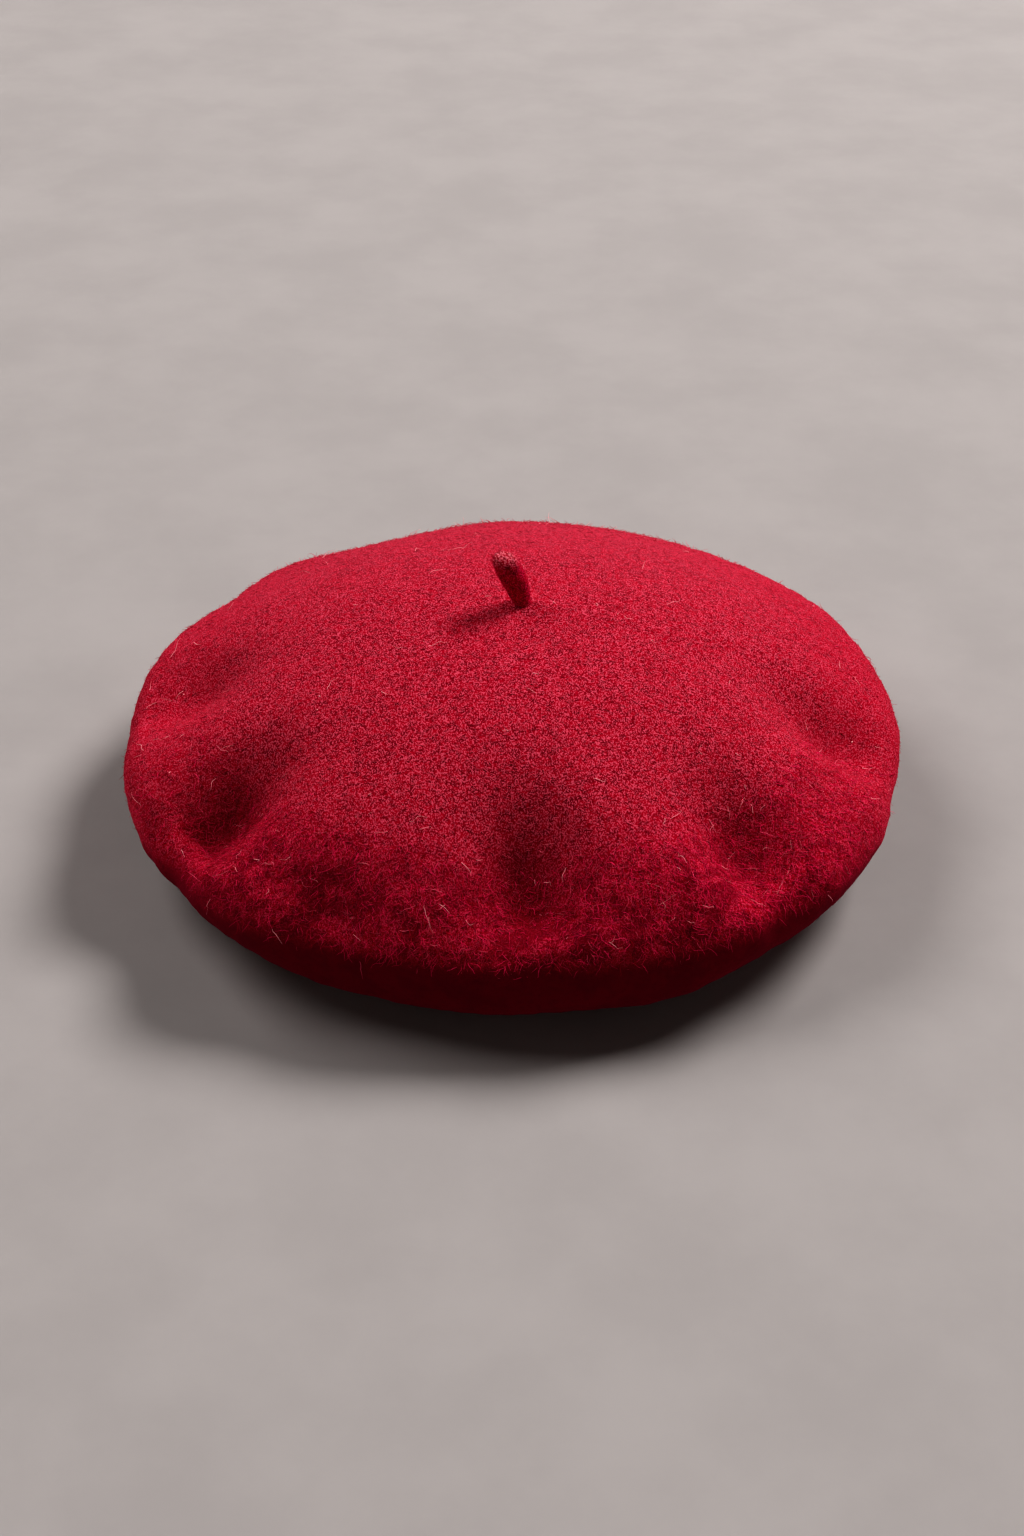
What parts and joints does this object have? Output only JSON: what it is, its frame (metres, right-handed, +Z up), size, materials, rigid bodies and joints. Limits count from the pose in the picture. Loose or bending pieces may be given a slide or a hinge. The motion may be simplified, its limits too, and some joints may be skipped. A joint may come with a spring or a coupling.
{
  "type": "basque beret",
  "caption": "Soft round felted wool beret with a wide flat rim that turns under to an open head hole, gentle dents around the crown and a short stalk at its middle.",
  "frame": {"origin": "on the surface that the beret rests on, on the axis of the head opening, which is within 2 mm of the middle of the outline", "axes": "+Z up through the crown, -Y towards the front, +X to the right seen from the front"},
  "size_m": [0.2789, 0.271, 0.1043],
  "materials": {
    "crown_felt": "matt fulled wool with a short curly nap",
    "stalk_felt": "matt tightly felted wool"
  },
  "bodies": {
    "root": {"crown": "crown_felt", "stalk": "stalk_felt"}
  },
  "joints": []
}
